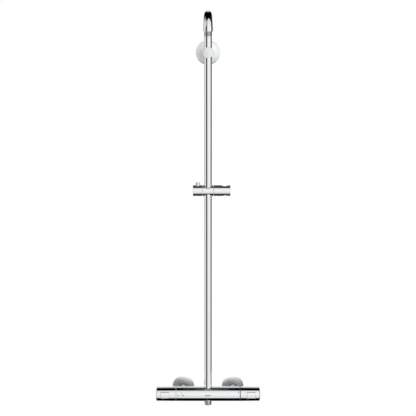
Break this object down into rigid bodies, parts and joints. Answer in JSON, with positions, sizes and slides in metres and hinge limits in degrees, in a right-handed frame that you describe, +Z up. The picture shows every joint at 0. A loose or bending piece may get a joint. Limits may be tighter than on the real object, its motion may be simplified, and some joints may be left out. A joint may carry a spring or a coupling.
{
  "type": "shower column",
  "caption": "Wall-mounted chrome shower column: thermostatic bar mixer, riser with sliding hand shower holder, wall bracket and swivelling overhead arm with a threaded outlet.",
  "frame": {"origin": "on the finished wall face, midway between the two water inlets and at their height", "axes": "+Z up along the riser, +Y into the wall, +X to the user's right when facing the wall"},
  "size_m": [0.3124, 0.4714, 1.1468],
  "materials": {
    "chrome": "polished chrome plate",
    "satin_chrome": "satin chrome plate",
    "brass": "machined brass",
    "steel": "bright stainless steel",
    "copper": "turned copper alloy",
    "rubber": "black sealing rubber",
    "white_plastic": "moulded white acetal",
    "dark_plastic": "moulded dark acetal",
    "ceramic": "lapped ceramic",
    "red_enamel": "red printed mark",
    "grey_enamel": "grey printed mark"
  },
  "bodies": {
    "root": {"thermostat_casing": "chrome", "valve_body": "brass", "hose_outlet_nipple": "chrome", "left_check_valve": "white_plastic", "left_filter_washer": "rubber", "left_union_nut": "chrome", "left_wall_union": "chrome", "left_inlet_escutcheon": "satin_chrome", "right_check_valve": "white_plastic", "right_filter_washer": "rubber", "right_union_nut": "chrome", "right_wall_union": "chrome", "right_inlet_escutcheon": "satin_chrome", "temperature_cartridge": "dark_plastic", "temperature_cartridge_nut": "brass", "temperature_stop_ring": "white_plastic", "flow_cartridge": "dark_plastic", "flow_cartridge_nut": "brass", "flow_stop_ring": "white_plastic", "riser_spigot": "brass", "riser_o_ring": "rubber", "riser_tube": "chrome", "swivel_ring": "dark_plastic", "bracket_wall_plate": "steel", "bracket_screw_upper": "steel", "bracket_screw_lower": "steel", "bracket_escutcheon": "satin_chrome", "bracket_holder": "satin_chrome", "bracket_bush": "dark_plastic", "bracket_grub_screw": "steel"},
    "temperature_handle": {"temperature_handle": "chrome", "temperature_carrier": "white_plastic", "temperature_cap": "chrome", "temperature_screw": "steel", "temperature_spindle": "brass", "temperature_button_spring": "steel"},
    "temperature_button": {"temperature_stop_button": "chrome"},
    "mixing_piston": {"mixing_piston": "copper"},
    "flow_handle": {"flow_handle": "chrome", "flow_carrier": "white_plastic", "flow_cap": "chrome", "flow_screw": "steel", "flow_spindle": "brass", "flow_disc": "ceramic", "flow_button_spring": "steel"},
    "flow_button": {"flow_stop_button": "chrome"},
    "slider_carriage": {"slider_bush": "dark_plastic"},
    "slider": {"slider_housing": "chrome", "slider_lock_housing": "chrome", "holder_pivot": "steel", "lock_spring": "steel"},
    "lock_button": {"slide_lock_button": "chrome"},
    "brake_shoe": {"brake_shoe": "dark_plastic"},
    "holder": {"holder_barrel": "chrome"},
    "arm": {"arm_tube": "chrome", "arm_outlet_elbow": "chrome", "arm_outlet_nipple": "chrome", "arm_swivel_plug": "brass", "arm_o_ring": "rubber"}
  },
  "joints": [
    {"name": "arm_swivel", "type": "hinge", "parent": "root", "child": "arm", "pos_m": [0, -0.075, 1.06], "axis": [0, 0, 1], "range_deg": [-60, 60]},
    {"name": "slider_height", "type": "slide", "parent": "root", "child": "slider_carriage", "axis": [0, 0, 1], "range_m": [-0.56, 0.36]},
    {"name": "slider_turn", "type": "hinge", "parent": "slider_carriage", "child": "slider", "pos_m": [0, -0.075, 0.611], "axis": [0, 0, 1], "range_deg": [-90, 45]},
    {"name": "holder_tilt", "type": "hinge", "parent": "slider", "child": "holder", "pos_m": [0.0165, -0.075, 0.611], "axis": [1, 0, 0], "range_deg": [-45, 45]},
    {"name": "lock_button_press", "type": "slide", "parent": "slider", "child": "lock_button", "axis": [0, 0, -1], "range_m": [0, 0.0025], "stiffness_N_per_m": 1000, "springref_m": -0.001, "deforming": ["lock_spring"]},
    {"name": "brake_shoe_slide", "type": "slide", "parent": "slider", "child": "brake_shoe", "axis": [1, 0, 0], "range_m": [-0.0012, 0.0002]},
    {"name": "temperature_turn", "type": "hinge", "parent": "root", "child": "temperature_handle", "pos_m": [-0.1, -0.075, 0], "axis": [1, 0, 0], "range_deg": [-150, 40]},
    {"name": "temperature_button_press", "type": "slide", "parent": "temperature_handle", "child": "temperature_button", "axis": [0, 1, 0], "range_m": [0, 0.002], "stiffness_N_per_m": 800, "springref_m": -0.001, "deforming": ["temperature_button_spring"]},
    {"name": "mixing_piston_slide", "type": "slide", "parent": "root", "child": "mixing_piston", "axis": [1, 0, 0], "range_m": [-0.0008, 0.0004]},
    {"name": "flow_turn", "type": "hinge", "parent": "root", "child": "flow_handle", "pos_m": [0.1, -0.075, 0], "axis": [1, 0, 0], "range_deg": [-90, 90]},
    {"name": "flow_button_press", "type": "slide", "parent": "flow_handle", "child": "flow_button", "axis": [0, 1, 0], "range_m": [0, 0.002], "stiffness_N_per_m": 800, "springref_m": -0.001, "deforming": ["flow_button_spring"]}
  ],
  "couplings": [
    {"joint": "brake_shoe_slide", "follows": "lock_button_press", "ratio": -0.4},
    {"joint": "mixing_piston_slide", "follows": "temperature_turn", "m_per_rad": 0.000239}
  ]
}
